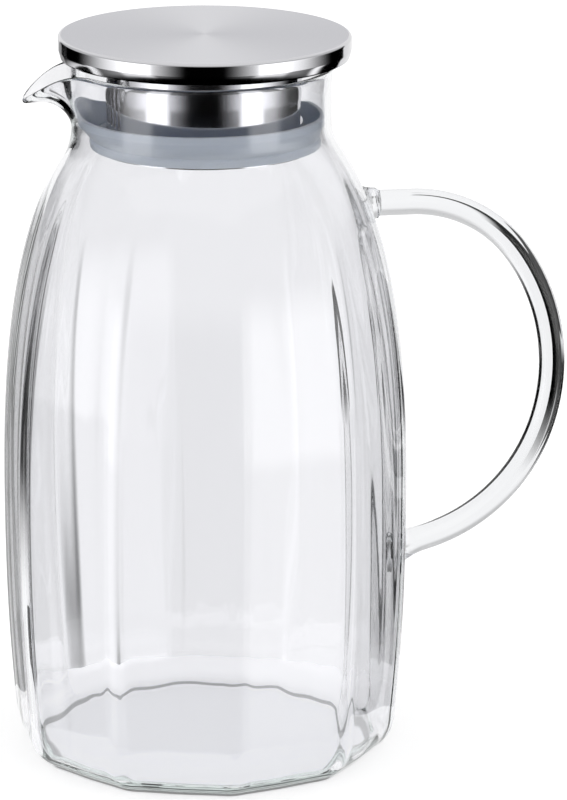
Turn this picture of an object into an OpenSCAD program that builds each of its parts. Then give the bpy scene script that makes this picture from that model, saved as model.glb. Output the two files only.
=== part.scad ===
// Panelled glass jug with a stainless strainer lid.
// The jug stands on z = 0 with its axis on Z, its spout towards -X and its handle towards +X.

/* [Glass body] */
// Number of flat panels round the body, one under the spout and one under the handle
panels = 10; // [8:2:12]
// Largest radius of the body, to the ridges between panels
belly_r = 69.1; // [60:0.1:84]
// Height of the largest radius above the table
belly_h = 94; // [80:1:114]
// How much smaller the radius is at the top of the rounded heel than at the belly
heel_tuck = 3.3; // [1:0.1:6]
// How much smaller the radius of the flat underside is than at the top of the heel
foot_tuck = 11.3; // [8:0.1:16]
// Height of the rounded heel
heel_h = 14; // [8:0.5:17]
// How soon the flank above the heel reaches the belly's width
flank_bow = 0.8; // [0.3:0.05:0.95]
// How far the flank stays upright above the belly, as a share of the height up to the neck
shoulder_rise = 0.858; // [0.6:0.002:0.9]
// How far the foot of the neck eases out into the shoulder
neck_ease = 11.5; // [8:0.5:20]
// Outer radius of the neck
neck_r = 42.4; // [41.5:0.1:50]
// Height at which the neck becomes straight
neck_h = 217.5; // [190:0.5:262]
// Length of the straight neck up to the rim
neck_len = 20.1; // [19:0.1:26]
// Thickness of the blown wall
wall = 2; // [1.5:0.1:2.4]
// Thickness of the base
base_t = 4; // [3:0.1:7]
// Extra thickness of the fire-polished rim on its outer face
rim_bead = 0.4; // [0:0.05:0.6]
// Rounding of the ridges between panels
ridge_round = 8; // [4:0.5:20]
// How far the middle of a panel bulges out
panel_bow = 0.5; // [0:0.1:1.5]
// Height over which the panels fade into the round neck
panel_fade = 40; // [25:1:90]

/* [Spout] */
// How far the beak reaches out from the neck
spout_reach = 17.6; // [10:0.1:21]
// How far the tip of the beak hangs below the rim
spout_drop = 9.7; // [4:0.1:11]
// Half-angle of the beak, seen from above
spout_spread = 12; // [9:0.5:16]
// How far the neck is drawn out towards the spout
throat_pull = 2.5; // [0:0.1:3]
// How far the beak's underside rises before it leans out
beak_rise = 4; // [3:0.5:8]
// How far the beak's tip runs level before it ends
beak_level = 11; // [6:0.5:14]
// How far the beak droops along that level run
beak_droop = 1.4; // [0:0.1:3]

/* [Handle] */
// Diameter of the glass rod
rod_d = 8.9; // [7:0.1:11]
// Depth of the rod's upper end below the foot of the neck
handle_drop = 29.5; // [20:0.5:40]
// Straight run of the rod's lower end after its last bend
handle_tail = 3.4; // [2:0.1:12]
// Bend radii of the rod, from the top down
handle_bends = [45, 68, 58.5];
// Angles that the rod turns through at those bends
handle_turns = [54, 57, 53];
// Length of the upper gather of glass between the wall and the rod
upper_pad_len = 4.5; // [3:0.1:7]
// Length of the lower gather of glass between the wall and the rod
lower_pad_len = 8; // [4:0.1:9]
// How much wider a gather is at the wall than the rod, on each side
pad_flare = 2; // [0.5:0.1:3]

/* [Lid] */
// How far the cap stands out past the neck
cap_overhang = 6.6; // [4:0.1:9]
// Height of the cap's rim
cap_h = 7.2; // [6:0.1:10]
// Rounding of the cap's upper edge
cap_round = 1; // [0.9:0.1:2]
// Gap between the glass rim and the underside of the cap
lid_gap = 3.2; // [1:0.1:4]
// Thickness of the stainless sheet
sheet = 0.8; // [0.5:0.1:0.9]
// How far the underplate sits above the cap's lower edge
plate_inset = 0.6; // [0.3:0.1:1.5]
// Height of the underplate's turned-up hem
hem_h = 4; // [2:0.1:4.5]

/* [Pour tube] */
// Width of the pour gap between the tube and the bore of the neck
pour_gap = 7.65; // [7:0.05:10]
// Depth of the tube's lower flange below the foot of the neck
seal_seat = 2.7; // [1:0.1:4]
// Bend radius of the flanges at both ends of the tube
tube_flare = 2.4; // [1.5:0.1:2.6]
// Width of the tube's upper flange, which is welded to the underplate
weld_flange = 3.6; // [2.8:0.1:5]
// Half-angle of the pour window, on the handle side
window_half = 25; // [15:1:30]
// Height of the sill that the window and the slots leave above the lower flare
window_sill = 2; // [1:0.1:3]
// Height of the wall left between the window and the upper flare
window_head = 4.4; // [2:0.1:8]
// Rounding of the window's corners
window_round = 3; // [1:0.5:3.5]
// Number of strainer slots, on the spout side
slots = 9; // [5:2:11]
// Width of one strainer slot
slot_w = 1.6; // [1:0.1:2]
// Angle from one strainer slot to the next
slot_step = 5.4; // [4.5:0.1:6]

/* [Lip seal] */
// Height of the seal's lip above the tube's lower flange
lip_h = 6.9; // [5:0.1:8.3]
// Height of the upright land with which the lip meets the neck
land_h = 2.6; // [1.5:0.1:3.5]
// Height of the groove that holds the seal
groove_h = 4.2; // [3.5:0.1:6]
// Thickness of the lip
lip_t = 1.5; // [1:0.1:1.8]
// Step from the lip in to the band below it
band_step = 1.4; // [0.8:0.1:2]
// Depth of the notch between the band and the lip
notch = 0.7; // [0.3:0.1:1]
// Width of the flanges that hold the seal, measured from the tube
flange_w = 3.9; // [3.2:0.1:4.2]
// Clearance between the lip and the bore of the neck
neck_clear = 0.4; // [0.4:0.05:0.6]
// Running clearance between the seal and the metal
seal_clear = 0.35; // [0.35:0.05:0.5]
// Clearance between sheet metal pieces that are spot-welded
weld_gap = 0.1; // [0.05:0.01:0.2]

/* [Hidden] */
$fn = 96;

glass_tint = [0.88, 0.92, 0.93, 0.45];
steel_tint = "silver";
silicone_tint = "lightslategray";

// Heights and radii that follow from the sizes above
heel_r = belly_r - heel_tuck;
foot_r = heel_r - foot_tuck;
rim_h = neck_h + neck_len;
handle_top = neck_h - handle_drop;
bore_r = neck_r - wall;
cap_r = neck_r + cap_overhang;
cap_z = rim_h + lid_gap;
lid_top = cap_z + cap_h;
plate_z = cap_z + plate_inset;
tube_r = bore_r - pour_gap;
tube_top = plate_z - weld_gap;
flange_z = neck_h - seal_seat;
groove_z = flange_z - groove_h;
sill_z = flange_z + tube_flare + window_sill;
window_h = tube_top - sheet - tube_flare - window_head - sill_z;

// Rows of points along the wall and columns round it
heel_rows = 4;
flank_rows = 4;
shoulder_rows = 10;
neck_rows = 7;
lip_rows = 4;
panel_columns = 6;
spout_columns = 2;
seal_columns = 72;
rod_sides = 20;
bend_rings = 9;
half_panel = 180 / panels;

function mix(a, b, t) = a + (b - a) * t;
function clamp01(t) = min(1, max(0, t));
function ease(t) = clamp01(t) * clamp01(t) * (3 - 2 * clamp01(t));
function bezier(a, b, c, d, t) =
    a * pow(1 - t, 3) + 3 * b * t * pow(1 - t, 2) + 3 * c * t * t * (1 - t) + d * pow(t, 3);
function bezier_way(a, b, c, d, t) =
    let (v = (b - a) * pow(1 - t, 2) + 2 * (c - b) * t * (1 - t) + (d - c) * t * t) v / norm(v);
// A point moved to the left of its way of travel
function beside(p, way, gap) = p + gap * [-way[1], way[0]];

// Control points of the outer wall, as [radius to the ridge, height]
flank_third = (belly_h - heel_h) / 3;
flank = [[heel_r, heel_h], [mix(heel_r, belly_r, flank_bow), heel_h + flank_third],
         [belly_r, belly_h - flank_third], [belly_r, belly_h]];
shoulder = [[belly_r, belly_h], [belly_r, mix(belly_h, neck_h, shoulder_rise)],
            [neck_r, neck_h - neck_ease], [neck_r, neck_h]];
neck_top = rim_h - wall / 2;
throat_r = neck_r + throat_pull;
tip_z = rim_h - spout_drop - wall / 2;
tip_r = neck_r + spout_reach;
beak = [[throat_r, neck_h], [throat_r, neck_h + beak_rise],
        [tip_r - beak_level, tip_z + beak_droop], [tip_r, tip_z]];

// Wall stations from the foot to the neck: [outer point, inner point]
heel_wall = [for (i = [0 : heel_rows - 1])
    let (a = 90 * i / heel_rows,
         p = [foot_r + (heel_r - foot_r) * sin(a), heel_h * (1 - cos(a))],
         travel = [(heel_r - foot_r) * cos(a), heel_h * sin(a)])
    [p, beside(p, travel / norm(travel), mix(base_t, wall, sin(a)))]];
flank_wall = [for (i = [0 : flank_rows - 1])
    let (t = i / flank_rows,
         p = bezier(flank[0], flank[1], flank[2], flank[3], t),
         way = bezier_way(flank[0], flank[1], flank[2], flank[3], t))
    [p, beside(p, way, wall)]];
shoulder_wall = [for (i = [0 : shoulder_rows - 1])
    let (t = i / shoulder_rows,
         p = bezier(shoulder[0], shoulder[1], shoulder[2], shoulder[3], t),
         way = bezier_way(shoulder[0], shoulder[1], shoulder[2], shoulder[3], t))
    [p, beside(p, way, wall)]];
body_wall = concat(heel_wall, flank_wall, shoulder_wall);

// How far a panel bulges at a turn from the ridge, from nothing at the ridge's rounding
function bulge(turn, arc_end) = panel_bow * (1 - cos(180 * (turn - arc_end) / (half_panel - arc_end))) / 2;
// Radius of a section with rounded ridges, at an angle from the handle's panel centre
function ridged(r, angle, round) =
    let (turn = abs((angle % (2 * half_panel)) - half_panel),
         apothem = (r - round) * cos(half_panel) + round,
         centre = (apothem - round) / cos(half_panel),
         arc_end = atan2(round * sin(half_panel), centre + round * cos(half_panel)))
    turn <= arc_end
        ? centre * cos(turn) + sqrt(pow(round, 2) - pow(centre * sin(turn), 2))
        : apothem / cos(half_panel - turn) + bulge(turn, arc_end);
// How much of the panels is left at a height, from 1 on the body to 0 on the neck
function panel_share(z) = 1 - ease((z - neck_h + panel_fade) / panel_fade);
function round_at(r) = min(ridge_round, r / 2);
function section(r, z, angle) = mix(r, ridged(r, angle, round_at(r)), panel_share(z));
// How far the wall is drawn out towards the spout
function pull(z, angle) = throat_pull * max(0, -cos(angle)) * ease((z - neck_h + neck_ease) / neck_ease);
function beak_share(angle) = exp(-pow((angle - 180) / spout_spread, 2));

function place(r, z, angle) = [r * cos(angle), r * sin(angle), z];
function body_row(point, angles) =
    [for (a = angles) place(section(point[0], point[1], a) + pull(point[1], a), point[1], a)];
// A row of the neck lies between the straight neck and the beak's curve
function neck_row(straight, drawn, angles) =
    [for (a = angles)
        let (s = beak_share(a), r = straight[0] + throat_pull * max(0, -cos(a)))
        place(r + s * (drawn[0] - straight[0] - throat_pull), mix(straight[1], drawn[1], s * s), a)];

// Columns round the wall, closer together across the spout
panel_step = 2 * half_panel / panel_columns;
columns = [for (i = [0 : panels * panel_columns - 1])
    let (a = i * panel_step, near = abs(a + panel_step / 2 - 180) < 2 * spout_spread)
    each near ? [for (k = [0 : spout_columns - 1]) a + k * panel_step / spout_columns] : [a]];

bead_rows = 2;
function bead(i) = i > neck_rows - bead_rows ? rim_bead : 0;
neck_points = [for (i = [0 : neck_rows])
    let (t = i / neck_rows,
         straight = [neck_r, mix(neck_h, neck_top, t)],
         drawn = bezier(beak[0], beak[1], beak[2], beak[3], t),
         way = bezier_way(beak[0], beak[1], beak[2], beak[3], t))
    [straight, [0, 1], drawn, way, bead(i)]];
rim = neck_points[neck_rows];
rim_half = (wall + rim_bead) / 2;
function rim_turn(p, way, a) =
    beside(p, way, wall - rim_half - rim_half * cos(a)) + way * rim_half * sin(a);

outer_rows = [for (s = body_wall) body_row(s[0], columns)];
inner_rows = [for (i = [len(body_wall) - 1 : -1 : 0]) body_row(body_wall[i][1], columns)];
neck_outer = [for (n = neck_points)
    neck_row(beside(n[0], n[1], -n[4]), beside(n[2], n[3], -n[4]), columns)];
neck_inner = [for (i = [neck_rows : -1 : 0])
    let (n = neck_points[i])
    neck_row(beside(n[0], n[1], wall), beside(n[2], n[3], wall), columns)];
rim_rows = [for (i = [1 : lip_rows - 1])
    let (a = 180 * i / lip_rows)
    neck_row(rim_turn(rim[0], rim[1], a), rim_turn(rim[2], rim[3], a), columns)];
glass_rows = concat(outer_rows, neck_outer, rim_rows, neck_inner, inner_rows);

// Triangles between two rows of n points, the second row following the first
function strip(n, first, second) = [for (i = [0 : n - 1])
    let (a = first * n + i, b = first * n + (i + 1) % n, c = second * n + i, d = second * n + (i + 1) % n)
    each [[a, c, b], [b, c, d]]];

// A closed skin over rows of points, with a fan on the first and on the last row
module lofted(rows, first_centre, last_centre) {
    n = len(rows[0]);
    last = len(rows) - 1;
    points = concat([for (row = rows) each row], [first_centre, last_centre]);
    sides = [for (j = [0 : last - 1]) each strip(n, j, j + 1)];
    first_fan = [for (i = [0 : n - 1]) [n * (last + 1), i, (i + 1) % n]];
    last_fan = [for (i = [0 : n - 1]) [n * (last + 1) + 1, last * n + (i + 1) % n, last * n + i]];
    polyhedron(points = points, faces = concat(sides, first_fan, last_fan));
}

// A closed ring over rows of points, whose last row joins the first
module lofted_ring(rows) {
    n = len(rows[0]);
    count = len(rows);
    polyhedron(points = [for (row = rows) each row],
               faces = [for (j = [0 : count - 1]) each strip(n, j, (j + 1) % count)]);
}

// Height of the shoulder curve as a parameter from 0 to 1, found by halving
function at_height(z, low = 0, high = 1, tries = 24) =
    let (t = (low + high) / 2, h = bezier(shoulder[0], shoulder[1], shoulder[2], shoulder[3], t)[1])
    tries == 0 ? t : h < z ? at_height(z, t, high, tries - 1) : at_height(z, low, t, tries - 1);
function flank_at(z, low = 0, high = 1, tries = 24) =
    let (t = (low + high) / 2, h = bezier(flank[0], flank[1], flank[2], flank[3], t)[1])
    tries == 0 ? t : h < z ? flank_at(z, t, high, tries - 1) : flank_at(z, low, t, tries - 1);
function ridge_at(z) = z > belly_h
    ? bezier(shoulder[0], shoulder[1], shoulder[2], shoulder[3], at_height(z))[0]
    : bezier(flank[0], flank[1], flank[2], flank[3], flank_at(z))[0];
// Distance from the axis to the middle of the handle's panel
function panel_face(z) = section(ridge_at(z), z, 0);
function face_lean(z) = atan2(panel_face(z - 1) - panel_face(z + 1), 2);

// The rod's path in the XZ plane: each bend starts where the last one ends
bend_count = len(handle_bends);
function heading(i) = i == 0 ? 0 : heading(i - 1) - handle_turns[i - 1];
function bend_sweep(i) = i == 0 ? [0, 0]
    : bend_sweep(i - 1) + handle_bends[i - 1]
        * ([sin(heading(i - 1)), -cos(heading(i - 1))] - [sin(heading(i)), -cos(heading(i))]);
exit_slope = 180 + heading(bend_count);
// The lower end meets the wall at the end of its tail and gather, and this sets where the bends begin
lower_run = handle_tail + lower_pad_len;
lower_z = handle_top + bend_sweep(bend_count)[1] - lower_run * sin(exit_slope);
lower_x = panel_face(lower_z);
bends_from = [lower_x + lower_run * cos(exit_slope) - bend_sweep(bend_count)[0], handle_top];
upper_x = panel_face(handle_top);

module glass_body() {
    color(glass_tint)
        lofted(glass_rows, [0, 0, 0], [0, 0, base_t]);
}

// Rings of points square to the rod's path
rod_path = concat(
    [[upper_x + upper_pad_len, handle_top, 0]],
    [for (i = [0 : bend_count - 1], k = [0 : bend_rings])
        if (i == 0 || k > 0)
            let (h = heading(i) - handle_turns[i] * k / bend_rings,
                 centre = bends_from + bend_sweep(i) + handle_bends[i] * [sin(heading(i)), -cos(heading(i))])
            [centre[0] - handle_bends[i] * sin(h), centre[1] + handle_bends[i] * cos(h), h]],
    [[lower_x + lower_pad_len * cos(exit_slope), lower_z + lower_pad_len * sin(exit_slope),
      heading(bend_count)]]);
function rod_ring(p) = [for (j = [0 : rod_sides - 1])
    let (turn = 360 * j / rod_sides, up = rod_d / 2 * cos(turn))
    [p[0] - up * sin(p[2]), -rod_d / 2 * sin(turn), p[1] + up * cos(p[2])]];

module handle() {
    ends = [rod_path[0], rod_path[len(rod_path) - 1]];
    color(glass_tint)
        lofted([for (p = rod_path) rod_ring(p)], [ends[0][0], 0, ends[0][1]], [ends[1][0], 0, ends[1][1]]);
}

// A gather of glass along the rod's line, cut off by the plane of the wall that it sits on
module weld_pad(x, z, slope, length) {
    cut = 8 * rod_d;
    translate([x, 0, z])
        difference() {
            rotate([0, 90 - slope, 0])
                translate([0, 0, -length])
                    cylinder(r1 = rod_d / 2 + 2 * pad_flare, r2 = rod_d / 2, h = 2 * length);
            rotate([0, -face_lean(z), 0])
                translate([-cut, -cut / 2, -cut / 2])
                    cube(cut);
        }
}

module upper_weld_pad() {
    color(glass_tint)
        weld_pad(upper_x, handle_top, 0, upper_pad_len);
}

module lower_weld_pad() {
    color(glass_tint)
        weld_pad(lower_x, lower_z, exit_slope, lower_pad_len);
}

module lid_cap() {
    inner_round = max(0.1, cap_round - sheet);
    color(steel_tint)
        rotate_extrude()
            difference() {
                union() {
                    translate([0, cap_z])
                        square([cap_r, cap_h - cap_round]);
                    translate([0, cap_z])
                        square([cap_r - cap_round, cap_h]);
                    translate([cap_r - cap_round, lid_top - cap_round])
                        intersection() {
                            circle(cap_round);
                            square(cap_round);
                        }
                }
                translate([0, cap_z - sheet])
                    square([cap_r - sheet, cap_h - inner_round]);
                translate([0, cap_z])
                    square([cap_r - sheet - inner_round, cap_h - sheet]);
                translate([cap_r - sheet - inner_round, lid_top - sheet - inner_round])
                    circle(inner_round);
            }
}

// A pressed pan: its hem stands inside the cap's rim and its floor closes the cap
module lid_underplate() {
    pan_r = cap_r - sheet - weld_gap;
    color(steel_tint)
        rotate_extrude()
            union() {
                translate([0, plate_z])
                    square([pan_r, sheet]);
                translate([pan_r - sheet, plate_z])
                    square([sheet, hem_h]);
            }
}

// Half section of the bend at one end of the tube, with its flange
module tube_end(reach) {
    turn = tube_flare + sheet;
    translate([tube_r + tube_flare, turn])
        intersection() {
            difference() {
                circle(turn);
                circle(tube_flare);
            }
            translate([-turn, -turn])
                square(turn);
        }
    translate([tube_r + tube_flare, 0])
        square([reach - tube_flare, sheet]);
}

// Half section of the tube: a straight waist between two bent-out flanges
module tube_outline() {
    low = flange_z - sheet;
    turn = tube_flare + sheet;
    translate([tube_r - sheet, low + turn])
        square([sheet, tube_top - low - 2 * turn]);
    translate([0, low])
        tube_end(flange_w);
    translate([0, tube_top])
        mirror([0, 1])
            tube_end(weld_flange);
}

// A punch along the X axis that starts a little inside the tube's wall
module punch(from) {
    translate([from, 0, sill_z])
        rotate([90, 0, 90])
            linear_extrude(tube_r)
                children();
}

module window_outline() {
    half_w = tube_r * sin(window_half);
    translate([-half_w, 0])
        square([2 * half_w, window_h - window_round]);
    translate([-half_w + window_round, 0])
        square([2 * (half_w - window_round), window_h]);
    for (side = [-1, 1])
        translate([side * (half_w - window_round), window_h - window_round])
            circle(window_round);
}

module slot_outline() {
    translate([-slot_w / 2, slot_w / 2])
        square([slot_w, window_h - slot_w]);
    for (end = [slot_w / 2, window_h - slot_w / 2])
        translate([0, end])
            circle(slot_w / 2);
}

module pour_tube() {
    color(steel_tint)
        difference() {
            rotate_extrude()
                tube_outline();
            punch(tube_r * cos(window_half) - 4 * sheet)
                window_outline();
            for (i = [0 : slots - 1])
                rotate([0, 0, 180 + (i - (slots - 1) / 2) * slot_step])
                    punch(tube_r - 4 * sheet)
                        slot_outline();
        }
}

// An L-section ring: its collar stands inside the tube and its foot holds the seal from below
collar_r = tube_r - sheet - weld_gap;
foot_z = groove_z - sheet;

module seal_retainer() {
    color(steel_tint)
        rotate_extrude()
            union() {
                translate([collar_r - sheet, foot_z])
                    square([tube_r + flange_w - collar_r + sheet, sheet]);
                translate([collar_r - sheet, foot_z])
                    square([sheet, sill_z - foot_z]);
            }
}

// Outline of the seal as [radius, height, share of the neck's pull that the point follows]
lip_r = bore_r - neck_clear;
band_r = lip_r - band_step;
lip_top = flange_z + lip_h;
held_r = collar_r + seal_clear;
free_r = tube_r + flange_w + seal_clear;
groove_top = flange_z - sheet - seal_clear;
seal_points = [
    [held_r, groove_z + seal_clear, 0], [free_r, groove_z + seal_clear, 0],
    [free_r, foot_z, 0], [band_r, foot_z, 0],
    [band_r, groove_top - notch, 0], [band_r - notch, groove_top, 0],
    [lip_r, lip_top - land_h, 1], [lip_r, lip_top, 1], [lip_r - lip_t, lip_top, 1],
    [free_r, flange_z + seal_clear, 0], [free_r, groove_top, 0], [held_r, groove_top, 0]];

module lip_seal() {
    angles = [for (i = [0 : seal_columns - 1]) 360 * i / seal_columns];
    color(silicone_tint)
        lofted_ring([for (p = seal_points)
            [for (a = angles) place(p[0] + p[2] * throat_pull * max(0, -cos(a)), p[1], a)]]);
}

glass_body();
handle();
upper_weld_pad();
lower_weld_pad();
lid_cap();
lid_underplate();
pour_tube();
seal_retainer();
lip_seal();
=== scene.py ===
import math

import bpy
import numpy as np
from bpy.props import FloatProperty, FloatVectorProperty, IntProperty, PointerProperty
from mathutils import Matrix, Vector


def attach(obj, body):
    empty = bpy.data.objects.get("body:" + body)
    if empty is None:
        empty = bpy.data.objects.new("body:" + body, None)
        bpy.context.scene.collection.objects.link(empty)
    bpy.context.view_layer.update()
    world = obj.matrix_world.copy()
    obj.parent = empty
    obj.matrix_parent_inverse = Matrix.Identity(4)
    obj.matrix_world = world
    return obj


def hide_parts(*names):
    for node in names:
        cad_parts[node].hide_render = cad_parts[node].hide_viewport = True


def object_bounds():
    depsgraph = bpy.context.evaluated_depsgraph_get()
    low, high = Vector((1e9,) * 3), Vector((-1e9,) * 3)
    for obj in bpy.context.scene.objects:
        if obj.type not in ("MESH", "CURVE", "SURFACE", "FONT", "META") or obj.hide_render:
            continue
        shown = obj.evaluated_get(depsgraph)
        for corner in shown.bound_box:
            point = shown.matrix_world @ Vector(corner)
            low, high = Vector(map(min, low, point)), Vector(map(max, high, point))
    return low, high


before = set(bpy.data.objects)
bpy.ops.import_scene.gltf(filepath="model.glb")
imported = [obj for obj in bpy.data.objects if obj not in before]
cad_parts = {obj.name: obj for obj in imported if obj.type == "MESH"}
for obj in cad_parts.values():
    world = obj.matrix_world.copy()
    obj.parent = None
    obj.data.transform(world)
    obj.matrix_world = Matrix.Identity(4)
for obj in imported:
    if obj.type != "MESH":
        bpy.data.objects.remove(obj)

bl_info = {
    "name": "Panelled Glass Jug",
    "version": (1, 0, 0),
    "blender": (4, 5, 0),
    "location": "View3D > Sidebar > Jug",
    "description": "Builds a panelled glass jug with a stainless strainer lid, and its studio",
    "category": "Add Mesh",
}

CAD_BOX = [list(corner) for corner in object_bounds()]
MM = 0.001
SHARP = math.radians(30)
PHOTO_W, PHOTO_H = 567, 800


def colour(text):
    """A colour written as an sRGB hex value, as linear red, green and blue."""
    steps = [int(text[i:i + 2], 16) / 255 for i in (1, 3, 5)]
    return [c / 12.92 if c <= 0.04045 else ((c + 0.055) / 1.055) ** 2.4 for c in steps]


def length(note, mm):
    """A length property, given in millimetres."""
    return FloatProperty(description=note, default=mm * MM, unit="LENGTH", precision=5)


def share(note, value):
    """A plain factor without a unit."""
    return FloatProperty(description=note, default=value)


def angle(note, degrees):
    """An angle property, given in degrees."""
    return FloatProperty(description=note, default=math.radians(degrees), unit="ROTATION")


def tint(note, text):
    """A colour property, given as an sRGB hex value."""
    return FloatVectorProperty(description=note, default=colour(text), subtype="COLOR", min=0, max=1)


class JugBodySizes(bpy.types.PropertyGroup):
    panels: IntProperty(description="Flat panels round the body", default=10)
    belly_r: length("Largest radius of the body, to the ridges", 69.1)
    belly_h: length("Height of the largest radius", 94)
    heel_tuck: length("How much smaller the radius is at the top of the heel", 3.3)
    foot_tuck: length("How much smaller the flat underside is than the heel", 11.3)
    heel_h: length("Height of the rounded heel", 14)
    flank_bow: share("How soon the flank reaches the belly's width", 0.8)
    shoulder_rise: share("How far the flank stays upright above the belly", 0.858)
    neck_ease: length("How far the foot of the neck eases into the shoulder", 11.5)
    neck_r: length("Outer radius of the neck", 42.4)
    neck_h: length("Height at which the neck becomes straight", 217.5)
    neck_len: length("Length of the straight neck", 20.1)
    wall: length("Thickness of the blown wall", 2)
    base_t: length("Thickness of the base", 4)
    rim_bead: length("Extra thickness of the fire-polished rim", 0.4)
    ridge_round: length("Rounding of the ridges on the outer face", 8)
    inner_round: length("Rounding of the ridges on the inner face", 18)
    panel_bow: length("How far the middle of a panel bulges out", 0.5)
    panel_fade: length("Height over which the panels fade into the neck", 40)
    ripple: length("Depth of the unevenness that blowing leaves on the inner face", 0.2)
    glass: tint("Tint of the glass", "#FAFAFC")
    depth_tint: tint("Tint that long ways through the glass take on", "#CFE3DB")


class SpoutSizes(bpy.types.PropertyGroup):
    reach: length("How far the beak reaches out from the neck", 17.6)
    drop: length("How far the tip hangs below the rim", 9.7)
    spread: angle("Half-angle of the beak, seen from above", 12)
    throat: length("How far the neck is drawn out towards the spout", 2.5)
    rise: length("How far the underside rises before it leans out", 4)
    level: length("How far the tip runs level before it ends", 11)
    droop: length("How far the beak droops along that run", 1.4)


class HandleSizes(bpy.types.PropertyGroup):
    rod_d: length("Diameter of the glass rod", 8.9)
    drop: length("Depth of the rod's upper end below the foot of the neck", 29.5)
    tail: length("Straight run of the rod's lower end", 3.4)
    bends: FloatVectorProperty(description="Bend radii from the top down, in metres",
                               default=(0.045, 0.068, 0.0585))
    turns: FloatVectorProperty(description="Angles that the rod turns through", unit="ROTATION",
                               default=(math.radians(54), math.radians(57), math.radians(53)))
    upper_pad: length("Length of the upper gather of glass", 4.5)
    lower_pad: length("Length of the lower gather of glass", 8)
    flare: length("How much wider a gather is at the wall than the rod", 2)
    sag: length("How far the lower gather hangs down at the wall", 2)
    root: length("How deep the gather is fused into the wall", 1)


class LidSizes(bpy.types.PropertyGroup):
    overhang: length("How far the cap stands out past the neck", 6.6)
    cap_h: length("Height of the cap's rim", 7.2)
    cap_round: length("Rounding of the cap's upper edge", 1)
    roll: length("Height over which the rim turns in at its lower edge", 2.6)
    roll_in: length("How far the rim turns in at its lower edge", 0.6)
    gap: length("Gap between the glass rim and the cap", 3.2)
    sheet: length("Thickness of the stainless sheet", 0.8)
    plate_inset: length("How far the underplate sits above the cap's lower edge", 0.6)
    hem_h: length("Height of the underplate's hem", 4)
    weld_gap: length("Clearance between spot-welded sheets", 0.1)
    steel: tint("Colour of the polished steel", "#CFCFD2")
    brushed: tint("Colour of the brushed top", "#C4C4C9")


class TubeSizes(bpy.types.PropertyGroup):
    pour_gap: length("Gap between the tube and the bore", 7.65)
    seat: length("Depth of the lower flange below the foot of the neck", 2.7)
    flare: length("Bend radius of the flanges", 2.4)
    weld_flange: length("Width of the upper flange", 3.6)
    flange_w: length("Width of the flanges that hold the seal", 3.9)
    window_half: angle("Half-angle of the pour window", 25)
    window_sill: length("Height of the sill above the lower flare", 2)
    window_head: length("Wall left between the window and the upper flare", 4.4)
    window_round: length("Rounding of the window's corners", 3)
    slots: IntProperty(description="Strainer slots on the spout side", default=9)
    slot_w: length("Width of one slot", 1.6)
    slot_step: angle("Angle from one slot to the next", 5.4)


class SealSizes(bpy.types.PropertyGroup):
    lip_h: length("Height of the lip above the tube's flange", 6.9)
    land_h: length("Height of the lip's upright land", 2.6)
    groove_h: length("Height of the groove that holds the seal", 4.2)
    lip_t: length("Thickness of the lip", 1.5)
    band_step: length("Step from the lip in to the band", 1.4)
    notch: length("Depth of the notch between band and lip", 0.7)
    neck_clear: length("Clearance between the lip and the bore", 0.4)
    seal_clear: length("Clearance between the seal and the metal", 0.35)
    edge: length("Rounding of the moulded edges", 0.25)
    silicone: tint("Colour of the silicone", "#D3DBE5")


class StudioSettings(bpy.types.PropertyGroup):
    distance: length("Camera's level distance from the jug's axis", 1800)
    azimuth: angle("Where the camera stands round the jug", -9.5)
    height: length("Camera's height above the table", 619.6)
    focal_px: share("Focal length in pixels of the photograph's frame", 5515)
    axis_x: share("Column of the frame that the jug's axis falls on", 204.72)
    axis_y: share("Row of the frame that the middle of the jug falls on", 393.4)
    plinth_r: length("Radius of the white plinth that glass and metal mirror", 95)
    plinth_lift: share("Light that the plinth gives of itself", 0.55)
    # Painted shade: how much of the plinth's paint and its own light is left in the painted ring under the heel
    heel_painted_shade: share("Light left in the gap under the heel", 0.3)
    floor_r: length("Radius of the floor round the plinth", 6000)
    floor_lift: share("Light that the floor gives of itself", 0.62)
    scrim_r: length("Distance of the side scrims from the jug", 2000)
    glow: share("Brightness of a scrim's upper part", 1.9)
    low_glow: share("Brightness of a scrim's lower part", 0.45)
    block_glow: share("Brightness of the block below the scrim's glow", 1.2)
    strip_glow: share("Brightness of the strip lights low on the scrims", 1.4)
    sky: share("Brightness of a scrim's top", 0.7)
    fill: share("Brightness of the scrims on matt surfaces", 1.2)
    haze: share("Brightness of the room's upper part through glass", 0.6)
    ambient: share("Brightness of the room on matt surfaces", 0.5)


def lerp(a, b, t):
    return a + (b - a) * t


def ease(t):
    t = np.clip(t, 0, 1)
    return t * t * (3 - 2 * t)


def smooth(value, start, end):
    """0 before the start and 1 after the end, eased between them."""
    return ease((value - start) / (end - start))


def bezier(points, t):
    """Points and unit headings along a cubic curve of four [radius, height] points."""
    a, b, c, d = (np.array(p, float) for p in points)
    t = np.asarray(t, float)[:, None]
    place = a * (1 - t) ** 3 + 3 * b * t * (1 - t) ** 2 + 3 * c * t * t * (1 - t) + d * t ** 3
    way = (b - a) * (1 - t) ** 2 + 2 * (c - b) * t * (1 - t) + (d - c) * t * t
    return place, way / np.linalg.norm(way, axis=1)[:, None]


def beside(place, way, gap):
    """Points moved to the left of their way of travel."""
    return place + np.asarray(gap)[..., None] * np.stack([-way[:, 1], way[:, 0]], 1)


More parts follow.
